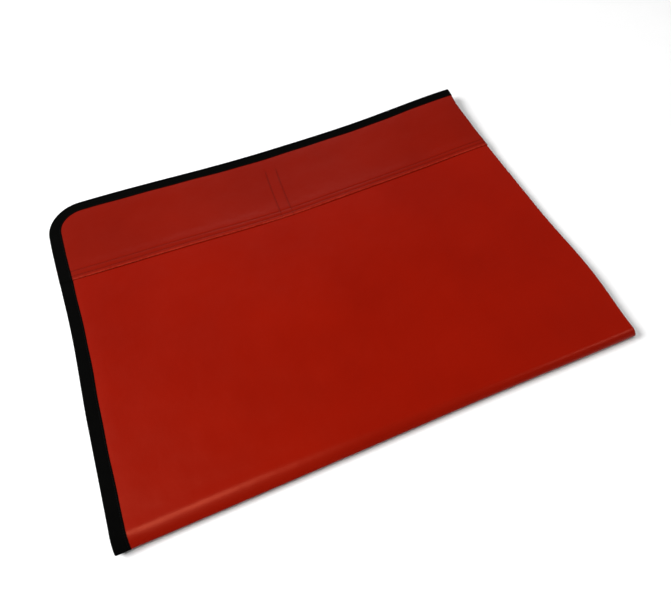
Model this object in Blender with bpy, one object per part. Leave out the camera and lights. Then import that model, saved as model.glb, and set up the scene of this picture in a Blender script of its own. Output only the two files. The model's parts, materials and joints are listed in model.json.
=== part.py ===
"""Fire blanket: a sheet of coated cloth with a bound edge and hand pockets, folded in quarters.

Metres, +Z up. +X runs along the folded blanket's long side, from the bound edge to the side
folds, and +Y from the front folds to the far bound edge. The blanket lies on z = 0.

The sheet is folded twice. The side folds at +X were made first and the front folds at -Y last,
so the stack holds four leaves, numbered from the bottom. Leaves 1 and 2 are the lower half and
leaves 3 and 4 the upper half, and the upper half opens about the crease of the front folds.
"""
import math

import bmesh
import bpy
from mathutils import Vector

# Driving dimensions of the open sheet
SHEET_LENGTH = 2.000        # along X
SHEET_WIDTH = 1.500         # along Y
CORNER_RADIUS = 0.075
CLOTH = 0.0012              # thickness of the coated cloth

# Binding tape, folded over the edge of the sheet
TAPE = 0.0008               # thickness
TAPE_WIDTH = 0.025          # what shows on each face
SEAM_INSET = 0.022          # from the sheet's edge to the seam that holds the tape

# Hand-pocket band along one long side
BAND_DEPTH = 0.205          # from the sheet's edge to the hem
HEM_DEPTH = 0.024           # width of the turned hem
HEM_STEP = 0.002            # run over which the hem's second layer fades out
HEM_SEAM_LOW = 0.009        # from the hem's edge to its first row of stitches
HEM_SEAM_HIGH = 0.019       # and to its second row
DIVIDER_SPACING = 0.025     # between the two rows that divide neighbouring pockets
DIVIDER_STOP = 0.040        # from the tape to the top of those rows

# Thread
THREAD = 0.0004             # how far a row of stitches stands proud
THREAD_WIDTH = 0.0012

# How loosely the stack lies
GAP = 0.0003                # between pieces that touch
LOOSE = 0.0005              # air between neighbouring leaves at their thickest
FRONT_REACH = 0.029         # how far the outer front fold bulges past its leaves
SAG_RUN = 0.010             # leaf 1 settles on the ground this far inside its corner arc

# Fineness of the curves
ARC_STEPS = 4
WRAP_STEPS = 5
SIDE_STEPS = 6

# Heights above the middle of the stack, and what follows from them
EDGE = GAP + TAPE                                   # the tape adds this outside the cloth
BAND_LOW_FACE = CLOTH / 2 + GAP
BAND_FACE = BAND_LOW_FACE + CLOTH
HEM_FACE = BAND_LOW_FACE + 2 * CLOTH
INNER_LEVEL = HEM_FACE + EDGE + LOOSE / 2           # middle of leaves 2 and 3
PITCH = CLOTH + 2 * EDGE + GAP + THREAD + LOOSE
OUTER_LEVEL = INNER_LEVEL + PITCH                   # middle of leaves 1 and 4
SIDE_RADIUS = PITCH / 2
MID_HEIGHT = EDGE + CLOTH / 2 + OUTER_LEVEL         # the crease plane's height

# The folded outline, centred on the origin
HALF_WIDTH = SHEET_WIDTH / 2
FLAT_LENGTH = SHEET_LENGTH / 2 - math.pi * SIDE_RADIUS / 2
ELLIPSE_H = ((FRONT_REACH - OUTER_LEVEL) / (FRONT_REACH + OUTER_LEVEL)) ** 2
WRAP = math.pi / 4 * (FRONT_REACH + OUTER_LEVEL) * (1 + ELLIPSE_H / 4)
WRAP_OUTSIDE = FRONT_REACH + CLOTH / 2 + EDGE
FOLDED_LENGTH = EDGE + FLAT_LENGTH + SIDE_RADIUS + HEM_FACE
FOLDED_WIDTH = WRAP_OUTSIDE + HALF_WIDTH - WRAP + EDGE
LEFT = EDGE - FOLDED_LENGTH / 2                     # the cloth's bound edge at -X
WRAP_START = WRAP_OUTSIDE - FOLDED_WIDTH / 2        # the front folds begin here
CREASE_Y = -FOLDED_WIDTH / 2 - GAP / 2              # the line that the upper half turns about

# A leaf: its half of the stack (+1 upper, -1 lower), its level, and the side of the cloth that
# faces outwards as the sheet runs round the side fold (+1 away from the stack's middle)
LEAVES = {
    "leaf_1": (-1, OUTER_LEVEL, 1),
    "leaf_2": (-1, INNER_LEVEL, -1),
    "leaf_3": (1, INNER_LEVEL, -1),
    "leaf_4": (1, OUTER_LEVEL, 1),
}
HALVES = {"lower": -1, "upper": 1}


# ---------------------------------------------------------------- folding the flat sheet

def ramp(value, start, end):
    """0 before start and 1 after end, straight between them."""
    return min(max((value - start) / (end - start), 0.0), 1.0)


def settle(run, v):
    """How far leaf 1 has come down onto the ground, once clear of the tape and its corner arc."""
    start = CORNER_RADIUS - (CORNER_RADIUS - TAPE_WIDTH) * math.cos(math.pi / 4)
    end = CORNER_RADIUS + SAG_RUN
    return EDGE * ramp(run, start, end) * ramp(HALF_WIDTH - v, start, end)


def stack_point(run, height, v, side, weight):
    """Point of a half stack: run along X, height above the middle, v along the cloth from the crease.

    The last stretch of cloth before the crease turns through a quarter of an ellipse.
    """
    turn = (1 - ramp(v, 0, WRAP)) * math.pi / 2
    reach = FRONT_REACH + height - OUTER_LEVEL
    y = WRAP_START + max(v - WRAP, 0) - reach * math.sin(turn)
    rise = GAP / 2 + (height - GAP / 2) * math.cos(turn)
    drop = settle(run, v) * weight * math.cos(turn) if side < 0 else 0
    return Vector((LEFT + run, y, MID_HEIGHT + side * rise - drop))


def leaf_point(leaf, run, v, offset):
    """Point of a leaf, offset from the cloth's middle towards its outward side."""
    side, level, face = LEAVES[leaf]
    weight = 1 if level == OUTER_LEVEL else 0
    return stack_point(run, level + face * offset, v, side, weight)


def side_point(side, turn, v, offset):
    """Point of a side fold, where the cloth turns from the outer leaf (0) to the inner (pi)."""
    radius = SIDE_RADIUS + offset
    height = (INNER_LEVEL + OUTER_LEVEL) / 2 + radius * math.cos(turn)
    point = stack_point(FLAT_LENGTH, height, v, side, (1 + math.cos(turn)) / 2)
    point.x += radius * math.sin(turn)
    return point


# ---------------------------------------------------------------- stations along the sheet

def left_station(v):
    """Place on the bound edge at -X. A station is an arc's centre (run, v) and its angle."""
    return (CORNER_RADIUS, v, 0.0)


def corner_stations():
    """Places round the rounded corner, both ends included."""
    centre = HALF_WIDTH - CORNER_RADIUS
    return [(CORNER_RADIUS, centre, math.pi / 2 * k / ARC_STEPS) for k in range(ARC_STEPS + 1)]


def far_station(run):
    """Place on the bound edge at +Y."""
    return (run, HALF_WIDTH - CORNER_RADIUS, math.pi / 2)


def inset(station, depth):
    """Point (run, v) a depth inside the sheet's edge at a station."""
    run, v, angle = station
    radius = CORNER_RADIUS - depth
    return (run - radius * math.cos(angle), v + radius * math.sin(angle))


def wrap_stretch():
    """Values of v through a front fold, from the crease to where its leaf begins."""
    return [(WRAP - GAP / 2) * k / WRAP_STEPS for k in range(WRAP_STEPS + 1)]


def band_start():
    return HALF_WIDTH - BAND_DEPTH


def band_face(v):
    """Offset of the band's upper face, which is one layer higher over its hem."""
    hem_top = band_start() + HEM_DEPTH
    return HEM_FACE + (BAND_FACE - HEM_FACE) * ramp(v, hem_top, hem_top + HEM_STEP)


def covered_face(v):
    """Offset of the upper face of whatever the tape lies on, on a half with a band."""
    start = band_start()
    if v < start:
        return CLOTH / 2 + (HEM_FACE - CLOTH / 2) * ramp(v, start - HEM_STEP, start - GAP)
    return band_face(v)


# ---------------------------------------------------------------- solids

def finish(name, mesh_data, material):
    """Make one closed, outward-facing, triangulated object."""
    bmesh.ops.remove_doubles(mesh_data, verts=mesh_data.verts, dist=0.000002)
    bmesh.ops.triangulate(mesh_data, faces=mesh_data.faces)
    bmesh.ops.recalc_face_normals(mesh_data, faces=mesh_data.faces)
    mesh = bpy.data.meshes.new(name)
    mesh_data.to_mesh(mesh)
    mesh_data.free()
    mesh.materials.append(material)
    mesh.shade_smooth()
    mesh.set_sharp_from_angle(angle=math.radians(30))
    piece = bpy.data.objects.new(name, mesh)
    bpy.context.scene.collection.objects.link(piece)
    return piece


def slab(name, low, high, material):
    """Closed solid between two grids of points with the same rows and columns."""
    work = bmesh.new()
    rows = len(low)
    columns = len(low[0])
    bottom = [[work.verts.new(point) for point in row] for row in low]
    top = [[work.verts.new(point) for point in row] for row in high]
    for i in range(rows - 1):
        for j in range(columns - 1):
            for sheet in (bottom, top):
                work.faces.new((sheet[i][j], sheet[i][j + 1], sheet[i + 1][j + 1], sheet[i + 1][j]))
    border = [(0, j) for j in range(columns)]
    border += [(i, columns - 1) for i in range(1, rows)]
    border += [(rows - 1, j) for j in range(columns - 2, -1, -1)]
    border += [(i, 0) for i in range(rows - 2, 0, -1)]
    for (i, j), (k, m) in zip(border, border[1:] + border[:1]):
        work.faces.new((bottom[i][j], bottom[k][m], top[k][m], top[i][j]))
    return finish(name, work, material)


def channel(name, sections, material):
    """Closed solid through U-shaped sections of eight points each."""
    work = bmesh.new()
    rings = [[work.verts.new(point) for point in section] for section in sections]
    for first, second in zip(rings, rings[1:]):
        for k in range(8):
            work.faces.new((first[k], first[(k + 1) % 8], second[(k + 1) % 8], second[k]))
    for ring in (rings[0], rings[-1]):
        for quad in ((0, 1, 6, 7), (1, 2, 5, 6), (2, 3, 4, 5)):
            work.faces.new([ring[k] for k in quad])
    return finish(name, work, material)


def tape_section(place, under, over):
    """The tape's U section: place(depth, offset) gives each point, round what it encloses."""
    corners = [
        (TAPE_WIDTH, -under - EDGE), (-EDGE, -under - EDGE), (-EDGE, over + EDGE), (TAPE_WIDTH, over + EDGE),
        (TAPE_WIDTH, over + GAP), (-GAP, over + GAP), (-GAP, -under - GAP), (TAPE_WIDTH, -under - GAP),
    ]
    return [place(depth, offset) for depth, offset in corners]


# ---------------------------------------------------------------- the sheet

def panel_grid(leaf, first_rows, face_at):
    """Grid over a leaf from its first rows to its far edge, at the offset face_at(v)."""
    columns = [CORNER_RADIUS + SAG_RUN, FLAT_LENGTH - GAP / 2]
    grid = []
    for station in [left_station(v) for v in first_rows] + corner_stations():
        row = [inset(station, 0), inset(station, TAPE_WIDTH)]
        row += [(run, row[1][1]) for run in columns]
        grid.append(row)
    arc_end = (CORNER_RADIUS, HALF_WIDTH)
    grid.append([arc_end, arc_end] + [(run, HALF_WIDTH) for run in columns])
    return [[leaf_point(leaf, run, v, face_at(v)) for run, v in row] for row in grid]


def make_leaf(leaf, name, material):
    """One of the four flat leaves."""
    first_rows = [WRAP + GAP / 2, HALF_WIDTH - CORNER_RADIUS - SAG_RUN]
    low = panel_grid(leaf, first_rows, lambda v: -CLOTH / 2)
    high = panel_grid(leaf, first_rows, lambda v: CLOTH / 2)
    slab(name, low, high, material)


def make_front_fold(leaf, name, material):
    """Half of a front fold: the cloth between a leaf and the crease."""
    runs = [0, TAPE_WIDTH, CORNER_RADIUS + SAG_RUN, FLAT_LENGTH - GAP / 2]
    grids = [
        [[leaf_point(leaf, run, v, offset) for run in runs] for v in wrap_stretch()]
        for offset in (-CLOTH / 2, CLOTH / 2)
    ]
    slab(name, grids[0], grids[1], material)


def side_turns():
    """Angles through a side fold, stopping short of the leaves it joins."""
    margin = GAP / 2 / SIDE_RADIUS
    return [margin + (math.pi - 2 * margin) * k / SIDE_STEPS for k in range(SIDE_STEPS + 1)]


def side_grid(side, rows, face_at):
    return [[side_point(side, turn, v, face_at(v)) for turn in side_turns()] for v in rows]


def make_side_fold(half, material):
    """A side fold, with the stretch of it that turns round the front."""
    rows = wrap_stretch()
    rows += [HALF_WIDTH - CORNER_RADIUS - SAG_RUN, HALF_WIDTH - TAPE_WIDTH, HALF_WIDTH]
    low = side_grid(HALVES[half], rows, lambda v: -CLOTH / 2)
    high = side_grid(HALVES[half], rows, lambda v: CLOTH / 2)
    slab("side_fold_" + half, low, high, material)


# ---------------------------------------------------------------- the hand-pocket band

def band_rows():
    """Values of v across the band before the corner's arc begins."""
    hem_top = band_start() + HEM_DEPTH
    return [band_start(), hem_top, hem_top + HEM_STEP]


def make_band(leaf, material):
    low = panel_grid(leaf, band_rows(), lambda v: BAND_LOW_FACE)
    high = panel_grid(leaf, band_rows(), band_face)
    slab("pocket_band_" + leaf, low, high, material)


def make_band_fold(material):
    """The band where it turns round the upper side fold."""
    rows = band_rows() + [HALF_WIDTH - TAPE_WIDTH, HALF_WIDTH]
    low = side_grid(1, rows, lambda v: BAND_LOW_FACE)
    high = side_grid(1, rows, band_face)
    slab("pocket_band_side_fold", low, high, material)


# ---------------------------------------------------------------- the binding tape

def leaf_edge_stations(upper):
    """Stations along a leaf's bound edge, with extra ones where the tape climbs over the hem."""
    start = band_start()
    rises = [start - HEM_STEP, start] + band_rows()[1:] if upper else []
    left = [left_station(v) for v in [WRAP + GAP / 2] + rises]
    return left + corner_stations() + [far_station(FLAT_LENGTH - GAP / 2)]


def face_under_tape(upper, v):
    return covered_face(v) if upper else CLOTH / 2


def make_leaf_binding(leaf, material):
    upper = LEAVES[leaf][0] > 0
    sections = []
    for station in leaf_edge_stations(upper):
        over = face_under_tape(upper, inset(station, 0)[1])
        place = lambda depth, offset: leaf_point(leaf, *inset(station, depth), offset)
        sections.append(tape_section(place, CLOTH / 2, over))
    channel("binding_" + leaf, sections, material)


def make_front_binding(leaf, name, material):
    """The tape where it turns round a front fold's bound end."""
    sections = []
    for v in wrap_stretch():
        place = lambda depth, offset: leaf_point(leaf, depth, v, offset)
        sections.append(tape_section(place, CLOTH / 2, CLOTH / 2))
    channel(name, sections, material)


def make_side_binding(half, material):
    """The tape where it turns round a side fold's far end."""
    side = HALVES[half]
    over = face_under_tape(side > 0, HALF_WIDTH)
    sections = []
    for turn in side_turns():
        place = lambda depth, offset: side_point(side, turn, HALF_WIDTH - depth, offset)
        sections.append(tape_section(place, CLOTH / 2, over))
    channel("binding_side_fold_" + half, sections, material)


# ---------------------------------------------------------------- rows of stitches

def make_row(name, pairs, leaf, face_at, outward, material):
    """A row of stitches between two lines of (run, v) points, on one face of a leaf."""
    grids = []
    for proud in (GAP, GAP + THREAD):
        grids.append([
            [leaf_point(leaf, run, v, outward * (face_at(v) + proud)) for run, v in pair]
            for pair in pairs
        ])
    slab(name, grids[0], grids[1], material)


def make_binding_seam(leaf, material):
    """The seam through the tape, on the leaf's upper face."""
    side, _, face = LEAVES[leaf]
    outward = face * side
    banded = side > 0 and outward > 0
    face_at = (lambda v: covered_face(v) + EDGE) if banded else (lambda v: CLOTH / 2 + EDGE)
    pairs = [
        (inset(station, SEAM_INSET - THREAD_WIDTH / 2), inset(station, SEAM_INSET + THREAD_WIDTH / 2))
        for station in leaf_edge_stations(side > 0)
    ]
    make_row("binding_seam_" + leaf, pairs, leaf, face_at, outward, material)


def make_hem_seams(leaf, material):
    """The two rows that close the band's hem."""
    for name, height in (("lower", HEM_SEAM_LOW), ("upper", HEM_SEAM_HIGH)):
        v = band_start() + height
        pairs = [
            ((run, v - THREAD_WIDTH / 2), (run, v + THREAD_WIDTH / 2))
            for run in (TAPE_WIDTH + GAP, FLAT_LENGTH - GAP / 2)
        ]
        make_row("hem_seam_%s_%s" % (name, leaf), pairs, leaf, band_face, 1, material)


def make_divider_seams(leaf, material):
    """The two rows that part neighbouring pockets, halfway along the leaf."""
    hem_top = band_start() + HEM_DEPTH
    bottom = band_start() + HEM_SEAM_HIGH + THREAD_WIDTH / 2 + GAP
    top = HALF_WIDTH - TAPE_WIDTH - DIVIDER_STOP
    for name, shift in (("left", -DIVIDER_SPACING / 2), ("right", DIVIDER_SPACING / 2)):
        run = SHEET_LENGTH / 4 + shift
        pairs = [
            ((run - THREAD_WIDTH / 2, v), (run + THREAD_WIDTH / 2, v))
            for v in (bottom, hem_top, hem_top + HEM_STEP, top)
        ]
        make_row("divider_seam_%s_%s" % (name, leaf), pairs, leaf, band_face, 1, material)


# ---------------------------------------------------------------- materials and assembly

def surface(name, color, roughness):
    material = bpy.data.materials.new(name)
    material.use_nodes = True
    shader = material.node_tree.nodes["Principled BSDF"]
    shader.inputs["Base Color"].default_value = (*color, 1.0)
    shader.inputs["Roughness"].default_value = roughness
    shader.inputs["Metallic"].default_value = 0.0
    return material


def clear_scene():
    for leftover in list(bpy.data.objects):
        bpy.data.objects.remove(leftover, do_unlink=True)


def build():
    clear_scene()
    coated_cloth = surface("coated_cloth", (0.33, 0.010, 0.003), 0.45)
    black_tape = surface("black_tape", (0.004, 0.004, 0.004), 0.80)
    red_thread = surface("red_thread", (0.20, 0.006, 0.003), 0.60)
    black_thread = surface("black_thread", (0.006, 0.006, 0.006), 0.60)

    make_leaf("leaf_1", "leaf_1_bottom", coated_cloth)
    make_leaf("leaf_2", "leaf_2", coated_cloth)
    make_leaf("leaf_3", "leaf_3", coated_cloth)
    make_leaf("leaf_4", "leaf_4_top", coated_cloth)
    for leaf, place in (("leaf_1", "outer_lower"), ("leaf_2", "inner_lower"),
                        ("leaf_3", "inner_upper"), ("leaf_4", "outer_upper")):
        make_front_fold(leaf, "front_fold_" + place, coated_cloth)
        make_front_binding(leaf, "binding_front_fold_" + place, black_tape)
        make_leaf_binding(leaf, black_tape)
        make_binding_seam(leaf, black_thread)
    for half in HALVES:
        make_side_fold(half, coated_cloth)
        make_side_binding(half, black_tape)
    for leaf in ("leaf_3", "leaf_4"):
        make_band(leaf, coated_cloth)
        make_hem_seams(leaf, red_thread)
        make_divider_seams(leaf, red_thread)
    make_band_fold(coated_cloth)


build()
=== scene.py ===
"""Folded fire blanket: red coated glass cloth bound in black tape, hand pockets along one edge.

Metres, +Z up, the blanket on z = 0. +X runs from the bound edge to the side folds and +Y from
the front folds to the far bound edge.
"""
import json
import math

import bpy
import numpy as np
from mathutils import Matrix, Vector


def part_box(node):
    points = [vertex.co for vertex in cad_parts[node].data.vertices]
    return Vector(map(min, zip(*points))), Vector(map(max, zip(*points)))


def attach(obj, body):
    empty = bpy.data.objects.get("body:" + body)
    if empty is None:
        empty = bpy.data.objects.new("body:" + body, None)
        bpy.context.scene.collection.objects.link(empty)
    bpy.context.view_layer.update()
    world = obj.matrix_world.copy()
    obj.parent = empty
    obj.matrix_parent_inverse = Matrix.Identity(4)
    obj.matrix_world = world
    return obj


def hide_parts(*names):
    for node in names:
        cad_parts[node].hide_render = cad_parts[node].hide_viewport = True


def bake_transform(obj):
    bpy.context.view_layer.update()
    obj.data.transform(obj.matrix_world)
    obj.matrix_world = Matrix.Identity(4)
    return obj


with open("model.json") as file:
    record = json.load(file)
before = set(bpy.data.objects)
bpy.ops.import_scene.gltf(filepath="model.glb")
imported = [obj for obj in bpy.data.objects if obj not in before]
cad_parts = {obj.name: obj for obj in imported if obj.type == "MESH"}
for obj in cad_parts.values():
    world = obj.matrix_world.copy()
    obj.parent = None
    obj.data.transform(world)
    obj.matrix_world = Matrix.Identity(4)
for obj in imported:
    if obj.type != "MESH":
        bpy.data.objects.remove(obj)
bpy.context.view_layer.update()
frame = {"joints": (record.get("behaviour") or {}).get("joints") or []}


# ------------------------------------------------------------------ the folded sheet
# The blanket itself: one rectangle of woven glass cloth, coated on both faces, its corners
# rounded. It was folded end to end first, which made the side folds at +X, and then across the
# front, so four leaves lie on each other; the upper two turn back about the front crease.
sheet_length = 2.000
sheet_width = 1.500
corner_radius = 0.075
cloth_thickness = 0.0010

crease = Vector(frame["joints"][0]["pos_m"])
leaf_2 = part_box("leaf_2")
leaf_3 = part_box("leaf_3")
leaf_4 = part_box("leaf_4_top")
inner_level = (leaf_3[0].z + leaf_3[1].z) / 2 - crease.z
outer_level = (leaf_4[0].z + leaf_4[1].z) / 2 - crease.z
bound_x = leaf_2[0].x
far_y = leaf_2[1].y
front_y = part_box("front_fold_outer_upper")[0].y + 0.0006

half_width = sheet_width / 2
side_fold_radius = (outer_level - inner_level) / 2
flat_length = sheet_length / 2 - math.pi * side_fold_radius / 2


def smooth(share):
    """Goes gently from 0 to 1 as share does."""
    share = np.clip(share, 0.0, 1.0)
    return share * share * (3 - 2 * share)


def through(value, places, amounts):
    """Smooth run through a few amounts, one at each place."""
    places, amounts = np.array(places), np.array(amounts)
    step = np.clip(np.searchsorted(places, value) - 1, 0, len(places) - 2)
    share = smooth((value - places[step]) / (places[step + 1] - places[step]))
    return amounts[step] * (1 - share) + amounts[step + 1] * share


def hill(distance, width):
    """1 at distance 0, falling away smoothly over width."""
    return np.exp(-(distance / width) ** 2)


def slack(x, y, v, height_share):
    """How the loose cloth lies off the neat folded shape.

    height_share is 0 at leaf 1 and 1 at leaf 4.
    """
    from_bound = x - bound_x
    from_far = half_width - v
    sinking = 0.30 * smooth((height_share - 0.12) / 0.3)
    sinking = sinking + 0.70 * smooth((height_share - 0.76) / 0.12)
    top = smooth((height_share - 0.2) / 0.75)

    # in the plane: the sides wander a little, and the far edge bows in
    toward_right = smooth((x + 0.05) / 0.5)
    side_shift = through(y, [-0.375, -0.22, -0.03, 0.15, 0.31, 0.375],
                         [-0.006, 0.002, -0.004, -0.0045, -0.005, 0.001])
    left_shift = through(y, [-0.375, -0.15, 0.05, 0.27, 0.375],
                         [-0.0015, -0.001, 0.003, -0.001, 0.001])
    bow = through(x, [-0.5, -0.40, 0.02, 0.5], [0.0095, 0.0090, -0.0070, 0.004])
    move_x = side_shift * toward_right + left_shift * (1 - toward_right)
    tip = -0.0035 * smooth((x - 0.1) / 0.4)
    move_y = bow * smooth(v / 0.55) + tip * (1 - smooth(v / 0.2))

    # settled onto what lies beneath, once clear of the tape and its corners
    tape_edge = 0.026
    clear = smooth((from_bound - tape_edge) / 0.06) * smooth((from_far - tape_edge) / 0.06)
    settle = 0.0011 * clear
    inside = smooth((from_bound - 0.02) / 0.14) * smooth((0.5 - x) / 0.16)
    inside = inside * smooth((v - 0.03) / 0.12) * smooth((from_far - 0.01) / 0.14)
    sag = 0.0030 * sinking * inside

    # long soft waves, and corners that lift off
    waves = 0.0009 * np.sin(7.0 * x + 3.5 * y + 0.6) + 0.0007 * np.sin(-9.0 * x + 12.0 * y + 1.9)
    waves = waves + 0.0005 * np.sin(19.0 * x + 8.0 * y + 4.0) + 0.0004 * np.sin(5.0 * x - 23.0 * y)
    ends = smooth((v - 0.02) / 0.10)
    left_corner = 0.0085 * hill(np.hypot(x + 0.50, (y - 0.375) * 0.9), 0.17)
    right_corner = 0.0075 * hill(np.hypot(x - 0.50, (y - 0.375) * 0.9), 0.15)
    lift = top * (waves * ends + left_corner + right_corner)
    return move_x, move_y, lift - sag - settle


def front_reach(x):
    """How far the front roll bulges past the flat leaves; it is fuller toward the bound edge."""
    return through(x, [-0.5, -0.25, 0.05, 0.3, 0.5], [0.0275, 0.0275, 0.0210, 0.0150, 0.0135])


def roll_depth(reach):
    """Length of cloth from the crease up to the front roll's ridge."""
    curve_over_chord = 1.06
    return curve_over_chord * np.hypot(reach, outer_level)


# the front roll's section, from the crease (0) to its ridge (1): a tight nose, then a slope that
# runs up almost straight and turns over onto the flat leaf
section_power = 1.22
forward_per_rise = 3
section_angle = np.linspace(0, math.pi / 2, 600)
section_forward = np.cos(section_angle) ** section_power
section_rise = np.sin(section_angle) ** section_power
section_steps = np.hypot(np.diff(forward_per_rise * section_forward), np.diff(section_rise))
section_run = np.concatenate([[0], np.cumsum(section_steps)])
section_run = section_run / section_run[-1]


def fold(s, v, n):
    """Place in the folded stack of a point of the open sheet.

    s runs along the sheet's length, v across it from the crease, and n is the distance from the
    cloth's middle, out of the face that carries the pockets.
    """
    s, v, n = np.broadcast_arrays(*(np.asarray(value, float) for value in (s, v, n)))
    half = np.where(v < 0, -1.0, 1.0)
    v = np.abs(v)
    turn = np.clip((s - flat_length) / side_fold_radius, 0.0, math.pi)
    radius = side_fold_radius + n
    run = np.minimum(np.minimum(s, sheet_length - s), flat_length) + radius * np.sin(turn)
    height = (inner_level + outer_level) / 2 + radius * np.cos(turn)
    x = bound_x + run
    reach = front_reach(x)
    wrap = roll_depth(reach)
    along_roll = np.clip(v / wrap, 0.0, 1.0)
    forward = np.interp(along_roll, section_run, section_forward)
    rise = np.interp(along_roll, section_run, section_rise)
    y = front_y + reach + np.maximum(v - wrap, 0) - (reach + height - outer_level) * forward
    y = y + (far_y - (front_y + reach + half_width - wrap)) * smooth(v / half_width)
    z = crease.z + half * height * rise
    height_share = z / (2 * crease.z)
    move_x, move_y, move_z = slack(x, y, v, height_share)
    full = through(x, [-0.5, -0.3, 0.05, 0.5], [0.9, 1.0, 0.3, 0.5])
    ridge = 0.0010 * full * hill(v - wrap + 0.002, 0.013)
    move_z = move_z + ridge * smooth((height_share - 0.6) / 0.3)
    return np.stack([x + move_x, y + move_y, z + move_z], axis=-1)


def facing_out(points, quads):
    """The quads, turned over if they face into the closed shape."""
    corners = points[quads]
    middle = corners.mean(axis=1)
    area = np.cross(corners[:, 2] - corners[:, 0], corners[:, 3] - corners[:, 1]) / 2
    volume = (middle * area).sum()
    return quads if volume > 0 else quads[:, ::-1]


def new_object(name, data):
    """Object around data, put into the scene."""
    made = bpy.data.objects.new(name, data)
    bpy.context.scene.collection.objects.link(made)
    return made


def new_piece(name, points, quads, uv, material):
    """Mesh object from numpy points and quads, with a UV map in metres."""
    mesh = bpy.data.meshes.new(name)
    mesh.from_pydata(points.tolist(), [], facing_out(points, quads).tolist())
    mesh.shade_smooth()
    layer = mesh.uv_layers.new(name="UVMap")
    corner = np.empty(len(mesh.loops), np.int32)
    mesh.loops.foreach_get("vertex_index", corner)
    layer.uv.foreach_set("vector", uv[corner].astype(np.float32).ravel())
    mesh.materials.append(material)
    mesh.update()
    return new_object(name, mesh)


def cloth_shell(name, s, v, outer, inner, material):
    """Closed shell between two faces of a grid over the open sheet."""
    rows, columns = s.shape
    points = np.concatenate([fold(s, v, outer).reshape(-1, 3), fold(s, v, inner).reshape(-1, 3)])
    below = rows * columns
    top = np.arange(below).reshape(rows, columns)
    outward = np.stack([top[:-1, :-1], top[:-1, 1:], top[1:, 1:], top[1:, :-1]], -1)
    inward = np.stack([top[:-1, :-1], top[1:, :-1], top[1:, 1:], top[:-1, 1:]], -1) + below
    ring = np.concatenate([top[0, :-1], top[:-1, -1], top[-1, :0:-1], top[:0:-1, 0]])
    following = np.roll(ring, -1)
    rim = np.stack([ring + below, following + below, following, ring], -1)
    quads = np.concatenate([outward.reshape(-1, 4), inward.reshape(-1, 4), rim])
    uv = np.tile(np.stack([s, v], -1).reshape(-1, 2), (2, 1))
    return new_piece(name, points, quads, uv, material)


def point_values(piece, name, values):
    """Puts one value for each place of a shell's grid onto both of its faces."""
    attribute = piece.data.attributes.new(name, "FLOAT", "POINT")
    attribute.data.foreach_set("value", np.tile(values.reshape(-1), 2).astype(np.float32))


def corner_start(v):
    """How far in from the ends the sheet starts at v, on its rounded corners."""
    past = np.clip(np.abs(v) - (half_width - corner_radius), 0.0, corner_radius)
    return corner_radius - np.sqrt(corner_radius**2 - past**2)


def over_sheet(columns, rows):
    """Grid of s and v, with the row ends drawn in along the rounded corners."""
    s, v = np.meshgrid(columns, rows)
    start = corner_start(v)
    drawn_in = 2 * corner_radius
    share = 1 - start / drawn_in
    near = start + s * share
    far = sheet_length - start - (sheet_length - s) * share
    s = np.where(s < drawn_in, near, np.where(s > sheet_length - drawn_in, far, s))
    return s, v


# the grid: close under the tape, round the side folds and over the front roll
half_columns = np.concatenate([
    [0.0, 0.006, 0.0125, 0.019, 0.025], np.linspace(0.037, 0.975, 79), np.linspace(0.982, 1.0, 19)
])
sheet_columns = np.concatenate([half_columns, sheet_length - half_columns[-2::-1]])
roll_rows = np.array([
    0.0, 0.4, 0.8, 1.2, 1.6, 2.1, 2.6, 3.2, 3.9, 4.7, 5.6, 6.6, 7.7, 8.9, 10.2, 11.6, 13.1, 14.7,
    16.4, 18.2, 20.1, 22.1, 24.2, 26.4, 28.7, 31.1, 33.6, 36.3, 39.5, 43.5, 48.5, 55.0, 63.0,
]) / 1000
corner_rows = half_width - corner_radius + corner_radius * np.sin(np.linspace(0, math.pi / 2, 13))
flat_rows = np.linspace(0.074, half_width - corner_radius - 0.012, 50)
half_rows = np.concatenate([roll_rows, flat_rows, corner_rows])
sheet_rows = np.concatenate([-half_rows[:0:-1], half_rows])


def along_roll_rows(s, v):
    """Rows near the crease close up or spread with the roll's depth, so none crosses its ridge."""
    depth = roll_depth(front_reach(bound_x + np.minimum(s, sheet_length - s)))
    deepest, free = depth.max(), 0.090
    size = np.abs(v)
    past = depth + (size - deepest) * (free - depth) / (free - deepest)
    beyond = np.where(size < free, past, size)
    return np.sign(v) * np.where(size < deepest, size * depth / deepest, beyond)


def add_node(tree, kind, inputs=None, **settings):
    """New node with its settings made and its inputs set or linked."""
    made = tree.nodes.new(kind)
    for key, value in settings.items():
        setattr(made, key, value)
    for key, value in (inputs or {}).items():
        if isinstance(value, bpy.types.NodeSocket):
            tree.links.new(value, made.inputs[key])
        else:
            made.inputs[key].default_value = value
    return made


def math_node(tree, operation, first, second=0.0):
    return add_node(tree, "ShaderNodeMath", {0: first, 1: second}, operation=operation).outputs[0]


def mix_colours(tree, factor, first, second):
    mixed = add_node(tree, "ShaderNodeMix", {0: factor, 6: first, 7: second}, data_type="RGBA")
    return mixed.outputs[2]


def noise(tree, where, scale, detail=3.0, roughness=0.5):
    made = add_node(tree, "ShaderNodeTexNoise", {"Vector": where, "Scale": scale, "Detail": detail,
                                                 "Roughness": roughness})
    return made.outputs[0]


def ramp(tree, value, low, high, to_low=0.0, to_high=1.0):
    made = add_node(tree, "ShaderNodeMapRange", {0: value, 1: low, 2: high, 3: to_low, 4: to_high})
    return made.outputs[0]


def new_material(name):
    """Material with its node tree and its shader."""
    material = bpy.data.materials.new(name)
    material.use_nodes = True
    tree = material.node_tree
    return material, tree, tree.nodes["Principled BSDF"]


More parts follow.
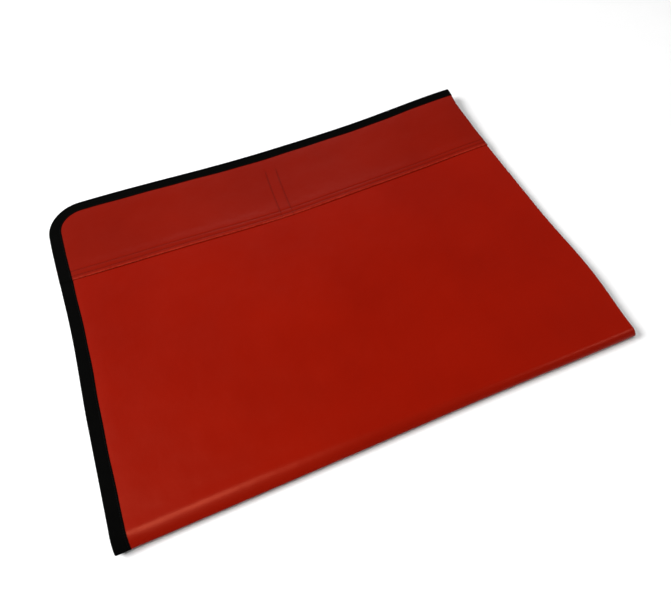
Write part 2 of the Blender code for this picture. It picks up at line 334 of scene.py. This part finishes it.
def coated_cloth(name, colour, darker, lighter, weave=0.0010):
    """Coated glass cloth: a faint plain weave under a smooth skin, softly uneven."""
    material, tree, shader = new_material(name)
    place = add_node(tree, "ShaderNodeUVMap", uv_map="UVMap").outputs[0]

    patchy = noise(tree, place, 5.0, 3.0, 0.55)
    base = mix_colours(tree, ramp(tree, patchy, 0.35, 0.7), (*darker, 1), (*colour, 1))
    speckle = noise(tree, place, 420.0, 2.0, 0.6)
    base = mix_colours(tree, ramp(tree, speckle, 0.62, 0.80, 0.0, 0.22), base, (*lighter, 1))
    # lighter along creases: real fold wear on the sheet, and on the pocket band the same mask is a
    # painted highlight along the hem's turned edge
    wear_and_highlight = add_node(tree, "ShaderNodeAttribute", attribute_name="crease_wear_and_hem_highlight").outputs["Fac"]
    scuffs = ramp(tree, noise(tree, place, 160.0, 4.0, 0.7), 0.35, 0.75)
    rubbed_and_highlit = math_node(tree, "MULTIPLY", wear_and_highlight, scuffs)
    base = mix_colours(tree, math_node(tree, "MULTIPLY", rubbed_and_highlit, 0.65), base, (*lighter, 1))
    # painted shade: the cloth is darkened along the rows of stitches, standing in for the shade in
    # the grooves the thread pulls in
    sewn = add_node(tree, "ShaderNodeAttribute", attribute_name="painted_stitch_shade").outputs["Fac"]
    shadow = tuple(value * 0.25 for value in darker)
    base = mix_colours(tree, math_node(tree, "MULTIPLY", sewn, 0.18), base, (*shadow, 1))
    tree.links.new(base, shader.inputs["Base Color"])

    smear = noise(tree, place, 14.0, 4.0, 0.6)
    gloss = ramp(tree, smear, 0.3, 0.75, 0.29, 0.35)
    gloss = math_node(tree, "ADD", gloss, math_node(tree, "MULTIPLY", rubbed_and_highlit, 0.12))
    tree.links.new(gloss, shader.inputs["Roughness"])
    shader.inputs["Specular IOR Level"].default_value = 0.34
    shader.inputs["Specular Tint"].default_value = (1.0, 0.24, 0.13, 1)

    parts = add_node(tree, "ShaderNodeSeparateXYZ", {0: place})
    warp = math_node(tree, "SINE", math_node(tree, "MULTIPLY", parts.outputs[0], math.pi / weave))
    weft = math_node(tree, "SINE", math_node(tree, "MULTIPLY", parts.outputs[1], math.pi / weave))
    threads = math_node(tree, "MULTIPLY", warp, weft)
    woven = add_node(tree, "ShaderNodeBump", {"Height": threads, "Strength": 0.35,
                                              "Distance": 0.00004})
    grain = noise(tree, place, 900.0, 2.0, 0.6)
    skin = add_node(tree, "ShaderNodeBump", {"Height": grain, "Strength": 0.30, "Distance": 0.0001,
                                             "Normal": woven.outputs[0]})
    dimples = noise(tree, place, 26.0, 3.0, 0.5)
    soft = add_node(tree, "ShaderNodeBump", {"Height": dimples, "Strength": 0.20,
                                             "Distance": 0.0035, "Normal": skin.outputs[0]})
    tree.links.new(soft.outputs[0], shader.inputs["Normal"])
    return material


sheet_red = coated_cloth("coated_glass_cloth", (0.216, 0.0040, 0.0004), (0.196, 0.0033, 0.0003),
                         (0.31, 0.012, 0.004))
# the band's copy of the same cloth is painted darker, as painted shade for the weaker sheen the
# band catches; its lighter colour is brighter for the painted highlight on the hem edge
shaded_band_red = coated_cloth("coated_glass_cloth_band_shaded", (0.184, 0.0042, 0.0006), (0.166, 0.0035, 0.0005),
                        (0.37, 0.028, 0.014))

s, v = over_sheet(sheet_columns, sheet_rows)
v = along_roll_rows(s, v)
blanket = cloth_shell("blanket_sheet", s, v, cloth_thickness / 2, -cloth_thickness / 2, sheet_red)
wear = np.maximum(hill(s - sheet_length / 2, 0.0045), 0.8 * hill(v, 0.006))
point_values(blanket, "crease_wear_and_hem_highlight", wear)

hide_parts("leaf_1_bottom", "leaf_2", "leaf_3", "leaf_4_top", "side_fold_lower",
            "side_fold_upper", "front_fold_outer_lower", "front_fold_inner_lower",
            "front_fold_inner_upper", "front_fold_outer_upper")
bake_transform(blanket)


# ------------------------------------------------------------------ the hand-pocket band
# A strip of the same coated cloth sewn along one long edge of the sheet, on its outward face. Its
# lower edge is turned under and sewn twice, and stays open, so hands go in behind it; two rows of
# stitches halfway along each leaf part one pocket from the next.
band_depth = 0.205
band_start = half_width - band_depth
band_cloth = 0.0006
band_seat = cloth_thickness / 2 + 0.0001
hem_depth = 0.024
hem_rows = (0.009, 0.019)
divider_spacing = 0.025
divider_top = half_width - 0.065
dividers = [middle + shift for middle in (sheet_length / 4, sheet_length * 3 / 4)
            for shift in (-divider_spacing / 2, divider_spacing / 2)]


def under_divider_top(v):
    """1 where the divider rows run, 0 past their top."""
    return smooth((divider_top + 0.002 - v) / 0.003)


def band_outer(s, v):
    """How far the band's outward face stands off the middle of the sheet's cloth."""
    doubled = 1 - smooth((v - band_start - hem_depth + 0.004) / 0.026)
    face = band_seat + band_cloth * (1 + doubled)
    sewn = sum(hill(v - band_start - depth, 0.0015) for depth in hem_rows)
    parted = sum(hill(s - place, 0.0015) for place in dividers) * under_divider_top(v)
    swell = 0.0002 * doubled * smooth((v - band_start) / 0.004)
    return face + swell - 0.00026 * sewn - 0.0003 * parted


def band_gape(s, v):
    """The open edge stands off the sheet a little between the places where it is held."""
    held = [0.02, 0.4875, 0.5125, 1.0, 1.4875, 1.5125, 1.98]
    nearest = np.min([np.abs(s - place) for place in held], axis=0)
    fades = 0.060
    return 0.0004 * smooth(nearest / 0.10) * smooth((band_start + fades - v) / fades)


def as_sewn(s, v):
    """On the top leaf the divider rows lean, and the upper hem row rises to the bound end."""
    s, v = np.broadcast_arrays(s, v)
    down = np.clip((divider_top - v) / (divider_top - band_start), 0.0, 1.0)
    near_dividers = hill(s - sheet_length / 4, 0.06)
    up = v - band_start
    upper_hem = smooth((up - 0.010) / 0.008) * (1 - smooth((up - 0.021) / 0.04))
    return s - 0.011 * down * near_dividers, v + 0.003 * upper_hem * (1 - smooth(s / 0.7))


divider_columns = np.array([-4.5, -2.2, -1.2, -0.6, 0.0, 0.6, 1.2, 2.2, 4.5]) / 1000
divider_zone = 0.022
plain_columns = sheet_columns[np.abs(sheet_columns % 1.0 - 0.5) > divider_zone]
band_columns = [plain_columns, [0.48, 0.5, 0.52, 1.48, 1.5, 1.52]]
band_columns += [place + divider_columns for place in dividers]
band_columns = np.unique(np.round(np.concatenate(band_columns), 5))
edge_rows = [0.0, 0.0006, 0.0022, 0.005]
row_steps = (-0.0022, -0.0012, -0.0006, 0.0, 0.0006, 0.0012, 0.0022)
stitched_rows = [depth + step for depth in hem_rows for step in row_steps]
other_hem_rows = [0.014, 0.0235, 0.0258, 0.029, 0.033, 0.038]
hem_zone = np.sort(band_start + np.array(edge_rows + stitched_rows + other_hem_rows))
upper_zone = np.linspace(band_start + 0.044, half_width - corner_radius - 0.011, 8)
band_rows = np.concatenate([hem_zone, upper_zone, corner_rows])

s, v = over_sheet(band_columns, band_rows)
gape = band_gape(s, v)
outer, inner = band_outer(s, v) + gape, band_seat + gape
# the hem's turned edge is rounded off
outer[0], inner[0] = band_seat + gape[0] + 0.0010, band_seat + gape[0] + 0.0004
outer[1] = band_seat + gape[1] + 0.0012
pocket_band = cloth_shell("pocket_band", *as_sewn(s, v), outer, inner, shaded_band_red)
# painted highlight: the hem's turned edge is lightened where light catches its rolled fold
point_values(pocket_band, "crease_wear_and_hem_highlight", 1.5 * hill(v - band_start - 0.001, 0.0020))


def painted_stitch_shade_mask(s, v, width):
    """Painted shade along the stitches: 1 on the hem's rows of stitches and more on the dividers',
    fading within width.
    """
    hems = np.max([hill(v - band_start - depth, width) for depth in hem_rows], axis=0)
    rows = np.max([hill(s - place, width) for place in dividers], axis=0)
    return np.maximum(hems, 1.7 * rows * under_divider_top(v))


# painted shade along the band's rows of stitches
point_values(pocket_band, "painted_stitch_shade", painted_stitch_shade_mask(s, v, 0.0016))
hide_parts("pocket_band_leaf_3", "pocket_band_leaf_4", "pocket_band_side_fold")
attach(pocket_band, "upper_half")


# ------------------------------------------------------------------ the binding tape
# Black woven tape folded over the sheet's edge all the way round, and over the ends and the top
# of the pocket band where that is sewn on. A row of stitches near its inner edge draws it down.
seam_inset = 0.022


def sheet_edge(fine):
    """Places round the whole edge of the sheet: (s, v) on the edge, and the way in from it."""
    straight = half_width - corner_radius
    climb = band_start + np.linspace(-0.006, 0.004, 6)
    up = np.concatenate([roll_rows, np.arange(0.070, straight, fine), climb])
    up = np.unique(np.round(up[up < straight - 0.001], 6))
    up = np.concatenate([-up[:0:-1], up])
    fold_zone = np.linspace(0.984, 1.016, 33)
    along = np.concatenate([np.arange(corner_radius + fine, 0.982, fine), fold_zone,
                            sheet_length - np.arange(corner_radius + fine, 0.982, fine)[::-1]])
    angles = np.linspace(0, math.pi / 2, 15)
    places = [(0.0, value, 1.0, 0.0) for value in up]

    def round_corner(centre_s, centre_v, first):
        for angle in first - angles:
            way_s, way_v = -math.cos(angle), -math.sin(angle)
            places.append((centre_s - corner_radius * way_s, centre_v - corner_radius * way_v,
                           way_s, way_v))

    round_corner(corner_radius, straight, math.pi)
    places += [(value, half_width, 0.0, -1.0) for value in along]
    round_corner(sheet_length - corner_radius, straight, math.pi / 2)
    places += [(sheet_length, value, -1.0, 0.0) for value in up[::-1]]
    round_corner(sheet_length - corner_radius, -straight, 0.0)
    places += [(value, -half_width, 0.0, 1.0) for value in along[::-1]]
    round_corner(corner_radius, -straight, -math.pi / 2)
    return np.array(places)


def tape_face(s, v):
    """Height of what lies under the tape on the pocket side."""
    banded = smooth((v - band_start + 0.0025) / 0.003)
    band_height = band_outer(s, np.maximum(v, band_start + 0.003)) - cloth_thickness / 2
    return cloth_thickness / 2 + band_height * banded


edge = sheet_edge(0.0062)
edge_s, edge_v, in_s, in_v = (column[:, None] for column in edge.T)
# the tape's section, as (distance in from the edge, height over the cloth) in millimetres
flange = np.array([
    (25.0, 0.10), (24.9, 0.45), (24.5, 0.60), (23.4, 0.62), (22.6, 0.50), (22.0, 0.36),
    (21.4, 0.50), (20.5, 0.66), (17.0, 0.78), (12.0, 0.84), (7.0, 0.84), (3.0, 0.86), (0.8, 0.84),
]) / 1000
turned_edge = np.array([(-0.4, 0.55), (-0.9, 0.0), (-0.4, -0.55)]) / 1000
inside_face = np.array([(0.2, -0.05), (0.2, 0.05)]) / 1000
distance = np.concatenate([[0], np.cumsum(np.hypot(*(np.diff(edge[:, :2], axis=0).T)))])[:, None]
wander = 1 + 0.018 * np.sin(distance * 21.0) + 0.012 * np.sin(distance * 57.0 + 1.0)
half_tape = 0.012
outward = tape_face(edge_s + in_s * half_tape, edge_v + in_v * half_tape)
backward = cloth_thickness / 2
depths = np.concatenate([
    flange[:, 0] * wander, np.broadcast_to(turned_edge[:, 0], (len(edge), 3)),
    flange[::-1, 0] * wander, np.broadcast_to(inside_face[:, 0], (len(edge), 2)),
], axis=1)
full_height = 0.0007
puff = 1 + 0.25 * np.sin(distance * 33.0 + 0.5) * np.sin(distance * 11.0)
proud = flange[:, 1] * np.where(flange[:, 1] > full_height, puff, 1.0)
proud_back = flange[::-1, 1] * np.where(flange[::-1, 1] > full_height, 2 - puff, 1.0)
half_over = (outward + backward) / 2
centre_n = (outward - backward) / 2
turned_half = 0.00055
turned = turned_edge[:, 1] / turned_half * (half_over * 0.72)
tape_gap = 0.00005
offsets = np.concatenate([
    outward + proud, centre_n + turned, -backward - proud_back,
    -backward - tape_gap + 0 * outward, outward + tape_gap,
], axis=1)
tape_s, tape_v = edge_s + in_s * depths, edge_v + in_v * depths
count, ring = tape_s.shape
index = np.arange(count * ring).reshape(count, ring)
farther = np.roll(index, -1, 0)
quads = np.stack([index, farther, np.roll(farther, -1, 1), np.roll(index, -1, 1)], -1)
points = fold(tape_s, tape_v, offsets).reshape(-1, 3)
uv = np.stack(np.broadcast_arrays(distance, depths), -1).reshape(-1, 2)


def woven_tape(name, colour, rib=0.0011):
    """Ribbed black tape: fine cross ribs, a matt face and a little lint."""
    material, tree, shader = new_material(name)
    place = add_node(tree, "ShaderNodeUVMap", uv_map="UVMap").outputs[0]
    parts = add_node(tree, "ShaderNodeSeparateXYZ", {0: place})
    ribs = math_node(tree, "SINE", math_node(tree, "MULTIPLY", parts.outputs[0], 2 * math.pi / rib))
    across = math_node(tree, "MULTIPLY", parts.outputs[1], 2 * math.pi / (rib * 0.55))
    crossed = math_node(tree, "MULTIPLY", ribs, math_node(tree, "SINE", across))
    cloth = math_node(tree, "ADD", ribs, math_node(tree, "MULTIPLY", crossed, 0.7))
    faded = ramp(tree, noise(tree, place, 30.0, 4.0, 0.6), 0.35, 0.75)
    grey = tuple(value * 1.6 for value in colour)
    base = mix_colours(tree, faded, (*colour, 1), (*grey, 1))
    lint = ramp(tree, noise(tree, place, 700.0, 2.0, 0.7), 0.68, 0.80, 0.0, 0.2)
    base = mix_colours(tree, lint, base, (*(value * 6 for value in grey), 1))
    tree.links.new(base, shader.inputs["Base Color"])
    tree.links.new(ramp(tree, cloth, -1.5, 1.5, 0.92, 0.78), shader.inputs["Roughness"])
    shader.inputs["Specular IOR Level"].default_value = 0.02
    bump = add_node(tree, "ShaderNodeBump", {"Height": cloth, "Strength": 0.6, "Distance": 0.00012})
    tree.links.new(bump.outputs[0], shader.inputs["Normal"])
    return material


tape_black = woven_tape("black_woven_tape", (0.0007, 0.0007, 0.0006))
tape = new_piece("binding_tape", points, quads.reshape(-1, 4), uv, tape_black)
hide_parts("binding_leaf_1", "binding_leaf_2", "binding_leaf_3", "binding_leaf_4",
            "binding_side_fold_lower", "binding_side_fold_upper",
            "binding_front_fold_outer_lower", "binding_front_fold_inner_lower",
            "binding_front_fold_inner_upper", "binding_front_fold_outer_upper")
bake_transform(tape)


# ------------------------------------------------------------------ the binding seam
# One row of black lockstitch all round, through both flanges of the tape and the cloth between
# them, so it shows on both faces.
def stitch_tree():
    """Geometry Nodes: stitches along each line of a wire mesh, lying on the cloth."""
    tree = bpy.data.node_groups.new("row_of_stitches", "GeometryNodeTree")
    socket = tree.interface.new_socket
    socket(name="Geometry", in_out="INPUT", socket_type="NodeSocketGeometry")
    for title, value in (("Pitch", 0.004), ("Stitch Length", 0.0032), ("Stitch Width", 0.0007),
                         ("Slant", 0.08)):
        socket(name=title, in_out="INPUT", socket_type="NodeSocketFloat").default_value = value
    socket(name="Seed", in_out="INPUT", socket_type="NodeSocketInt").default_value = 3
    socket(name="Thread", in_out="INPUT", socket_type="NodeSocketMaterial")
    socket(name="Geometry", in_out="OUTPUT", socket_type="NodeSocketGeometry")
    given = tree.nodes.new("NodeGroupInput").outputs
    line = add_node(tree, "GeometryNodeMeshToCurve", {"Mesh": given["Geometry"]})
    spaced = add_node(tree, "GeometryNodeResampleCurve",
                      {"Curve": line.outputs[0], "Length": given["Pitch"]}, mode="LENGTH")
    tangent = tree.nodes.new("GeometryNodeInputTangent")
    face = add_node(tree, "GeometryNodeInputNamedAttribute", {"Name": "face_normal"},
                    data_type="FLOAT_VECTOR")
    along = add_node(tree, "FunctionNodeAlignRotationToVector", {"Vector": tangent.outputs[0]},
                     axis="X")
    upright = add_node(tree, "FunctionNodeAlignRotationToVector",
                       {"Rotation": along.outputs[0], "Vector": face.outputs["Attribute"]},
                       axis="Z", pivot_axis="X")
    less = add_node(tree, "ShaderNodeMath", {0: given["Slant"], 1: -1.0}, operation="MULTIPLY")
    tilt = add_node(tree, "FunctionNodeRandomValue",
                    {2: less.outputs[0], 3: given["Slant"], "Seed": given["Seed"]},
                    data_type="FLOAT")
    turned = add_node(tree, "ShaderNodeCombineXYZ", {2: tilt.outputs[1]})
    as_turn = add_node(tree, "FunctionNodeEulerToRotation", {0: turned.outputs[0]})
    placed = add_node(tree, "FunctionNodeRotateRotation",
                      {0: upright.outputs[0], 1: as_turn.outputs[0]}, rotation_space="LOCAL")
    ball = add_node(tree, "GeometryNodeMeshUVSphere", {"Segments": 6, "Rings": 5, "Radius": 0.5})
    size = add_node(tree, "ShaderNodeCombineXYZ",
                    {0: given["Stitch Length"], 1: given["Stitch Width"], 2: given["Stitch Width"]})
    stitch = add_node(tree, "GeometryNodeTransform",
                      {"Geometry": ball.outputs[0], "Scale": size.outputs[0]})
    row = add_node(tree, "GeometryNodeInstanceOnPoints",
                   {"Points": spaced.outputs[0], "Instance": stitch.outputs[0],
                    "Rotation": placed.outputs[0]})
    real = add_node(tree, "GeometryNodeRealizeInstances", {"Geometry": row.outputs[0]})
    round_off = add_node(tree, "GeometryNodeSetShadeSmooth", {"Geometry": real.outputs[0]})
    coloured = add_node(tree, "GeometryNodeSetMaterial",
                        {"Geometry": round_off.outputs[0], "Material": given["Thread"]})
    out = tree.nodes.new("NodeGroupOutput")
    tree.links.new(coloured.outputs[0], out.inputs["Geometry"])
    return tree


row_of_stitches = stitch_tree()


def sew(name, lines, material, **given):
    """Stitches along lines over the open sheet, each given as (s, v, n, side, closed).

    side is 1 on the face that carries the pockets and -1 on the other, and a closed line runs
    back to its start.
    """
    probe = 0.0002
    points, edges, normals = [], [], []
    for s, v, n, side, closed in lines:
        s, v, n = np.broadcast_arrays(s, v, n)
        at = fold(s, v, n)
        off = (fold(s, v, n + side * probe) - at) / probe
        first = sum(len(part) for part in points)
        index = np.arange(len(at)) + first
        edges.append(np.stack([index[:-1], index[1:]], -1))
        if closed:
            edges.append([[index[-1], index[0]]])
        points.append(at)
        normals.append(off / np.linalg.norm(off, axis=1, keepdims=True))
    mesh = bpy.data.meshes.new(name)
    mesh.from_pydata(np.concatenate(points).tolist(), np.concatenate(edges).tolist(), [])
    face_normal = mesh.attributes.new("face_normal", "FLOAT_VECTOR", "POINT")
    face_normal.data.foreach_set("vector", np.concatenate(normals).astype(np.float32).ravel())
    piece = new_object(name, mesh)
    sewing = piece.modifiers.new("sewing", "NODES")
    sewing.node_group = row_of_stitches
    given["Thread"] = material
    for item in row_of_stitches.interface.items_tree:
        if item.in_out == "INPUT" and item.name in given:
            sewing[item.identifier] = given[item.name]
    bpy.context.view_layer.update()
    depsgraph = bpy.context.evaluated_depsgraph_get()
    sewn = bpy.data.meshes.new_from_object(piece.evaluated_get(depsgraph), depsgraph=depsgraph)
    piece.modifiers.remove(sewing)
    piece.data = sewn
    sewn.name = name
    return piece


def thread(name, colour, shine):
    """Spun sewing thread: two twisted plies, so its face is finely ribbed across the slant, with
    painted shade in the grooves between the plies.
    """
    ply_twist = 0.0006
    material, tree, shader = new_material(name)
    place = add_node(tree, "ShaderNodeTexCoord").outputs["Object"]
    parts = add_node(tree, "ShaderNodeSeparateXYZ", {0: place})
    rising = math_node(tree, "ADD", parts.outputs[1], parts.outputs[2])
    slanted = math_node(tree, "ADD", parts.outputs[0], rising)
    twist = math_node(tree, "SINE", math_node(tree, "MULTIPLY", slanted, 2 * math.pi / ply_twist))
    # painted shade: the grooves between the plies are darker
    ply_groove_shade = ramp(tree, twist, -1.0, 1.0)
    groove_shade_colour = tuple(value * 0.55 for value in colour)
    pale = tuple(min(value * 1.8 + 0.004, 1.0) for value in colour)
    fluff = noise(tree, place, 260.0, 3.0, 0.6)
    base = mix_colours(tree, ply_groove_shade, (*groove_shade_colour, 1), (*colour, 1))
    base = mix_colours(tree, ramp(tree, fluff, 0.55, 0.8, 0.0, 0.35), base, (*pale, 1))
    tree.links.new(base, shader.inputs["Base Color"])
    tree.links.new(ramp(tree, fluff, 0.3, 0.8, shine, shine + 0.15), shader.inputs["Roughness"])
    shader.inputs["Specular IOR Level"].default_value = 0.10
    bump = add_node(tree, "ShaderNodeBump", {"Height": twist, "Strength": 0.5, "Distance": 0.00008})
    tree.links.new(bump.outputs[0], shader.inputs["Normal"])
    return material


black_thread = thread("black_thread", (0.0022, 0.0022, 0.0022), 0.55)
seam_s, seam_v = edge[:, 0] + edge[:, 2] * seam_inset, edge[:, 1] + edge[:, 3] * seam_inset
over_cloth = 0.00050
binding_seam = sew("binding_seam", [
    (seam_s, seam_v, outward[:, 0] + over_cloth, 1.0, True),
    (seam_s, seam_v, -cloth_thickness / 2 - over_cloth, -1.0, True),
], black_thread, Pitch=0.0042)
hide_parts("binding_seam_leaf_1", "binding_seam_leaf_2", "binding_seam_leaf_3",
            "binding_seam_leaf_4")
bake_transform(binding_seam)


# ------------------------------------------------------------------ the pocket band's seams
# Red thread: two rows close the band's hem, and two short rows between neighbouring pockets go
# right through the sheet. The upper hem row stops where the divider rows come down to it.
red_thread = thread("red_thread", (0.105, 0.0018, 0.0005), 0.5)
thread_lift = 0.00008
seam_ends = (0.0265, sheet_length - 0.0265)
parted_ends = (seam_ends[0], *dividers, seam_ends[1])
for title, depth, ends in (("lower", hem_rows[0], seam_ends), ("upper", hem_rows[1], parted_ends)):
    lines = []
    for first, last in zip(ends[::2], ends[1::2]):
        between = band_columns[(band_columns > first) & (band_columns < last)]
        run = np.concatenate([[first], between, [last]])
        v = np.full(len(run), band_start + depth)
        n = band_outer(run, v) + band_gape(run, v) + thread_lift
        lines.append((*as_sewn(run, v), n, 1.0, False))
    row = sew("hem_seam_" + title, lines, red_thread, Pitch=0.0040)
    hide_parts("hem_seam_%s_leaf_3" % title, "hem_seam_%s_leaf_4" % title)
    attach(row, "upper_half")

v = np.linspace(band_start + hem_rows[1], divider_top, 60)
for title, places in (("left", dividers[0::2]), ("right", dividers[1::2])):
    lines = []
    for place in places:
        n = band_outer(place, v) + band_gape(place, v) + thread_lift
        lines.append((*as_sewn(place, v), n, 1.0, False))
        lines.append((*as_sewn(place, v), -cloth_thickness / 2 - 0.0001, -1.0, False))
    row = sew("divider_seam_" + title, lines, red_thread, Pitch=0.0040)
    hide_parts("divider_seam_%s_leaf_3" % title, "divider_seam_%s_leaf_4" % title)
    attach(row, "upper_half")


# ------------------------------------------------------------------ floor, light and camera
# A plain pale floor, a broad lamp on the left, a weak one beyond the far edge, two small ones
# overhead that light the front roll, and a dim room.
floor_reach, floor_z = 14, -0.0002
floor_mesh = bpy.data.meshes.new("studio_floor")
floor_mesh.from_pydata(
    [(x * floor_reach, y * floor_reach, floor_z) for x, y in ((-1, -1), (1, -1), (1, 1), (-1, 1))],
    [], [(0, 1, 2, 3)])
floor = new_object("studio_floor", floor_mesh)
paper, tree, shader = new_material("studio_paper")
place = add_node(tree, "ShaderNodeTexCoord").outputs["Object"]
tone = ramp(tree, noise(tree, place, 3.0, 4.0), 0.3, 0.7)
paper_white = mix_colours(tree, tone, (0.82, 0.82, 0.82, 1), (0.85, 0.85, 0.85, 1))
tree.links.new(paper_white, shader.inputs["Base Color"])
shader.inputs["Roughness"].default_value = 0.9
shader.inputs["Specular IOR Level"].default_value = 0.1
floor_mesh.materials.append(paper)

world = bpy.data.worlds.new("studio_room")
world.use_nodes = True
world.node_tree.nodes["Background"].inputs[0].default_value = (1.0, 1.0, 1.0, 1)
world.node_tree.nodes["Background"].inputs[1].default_value = 0.20
bpy.context.scene.world = world


def softbox(name, place, toward, width, height, power):
    """Rectangular lamp at place, facing toward; power is in watts."""
    lamp = bpy.data.lights.new(name, "AREA")
    lamp.shape = "RECTANGLE"
    lamp.size, lamp.size_y, lamp.energy = width, height, power
    made = new_object(name, lamp)
    made.location = place
    made.rotation_mode = "QUATERNION"
    made.rotation_quaternion = (Vector(toward) - Vector(place)).to_track_quat("-Z", "Y")


softbox("key_softbox", (-5.8, 2.4, 4.7), (0.0, 0.0, 0.0), 4.4, 3.0, 900)
softbox("far_softbox", (0.9, 6.0, 3.1), (0.0, 0.0, 0.0), 3.0, 2.4, 40)
softbox("top_softbox", (-0.9, -0.47, 3.2), (-0.1, -0.1, 0.0), 0.9, 0.6, 42)
softbox("right_softbox", (2.7, -1.2, 3.2), (0.4, -0.3, 0.0), 0.9, 0.6, 18)

lens = bpy.data.cameras.new("camera")
lens.lens, lens.sensor_width = 30.89, 36.0
lens.clip_start, lens.clip_end = 0.02, 60.0
camera = new_object("camera", lens)
camera_place = (-0.21167, -0.64575, 0.98594)
look = Vector((0.18414, 0.49375, -0.84989)).normalized()
up = Vector((0.34311, 0.77799, 0.52632))
right = look.cross(up).normalized()
up = right.cross(look)
facing = Matrix((right, up, -look)).transposed().to_4x4()
camera.matrix_world = Matrix.Translation(camera_place) @ facing
bpy.context.scene.camera = camera
bpy.context.scene.view_settings.view_transform = "Standard"
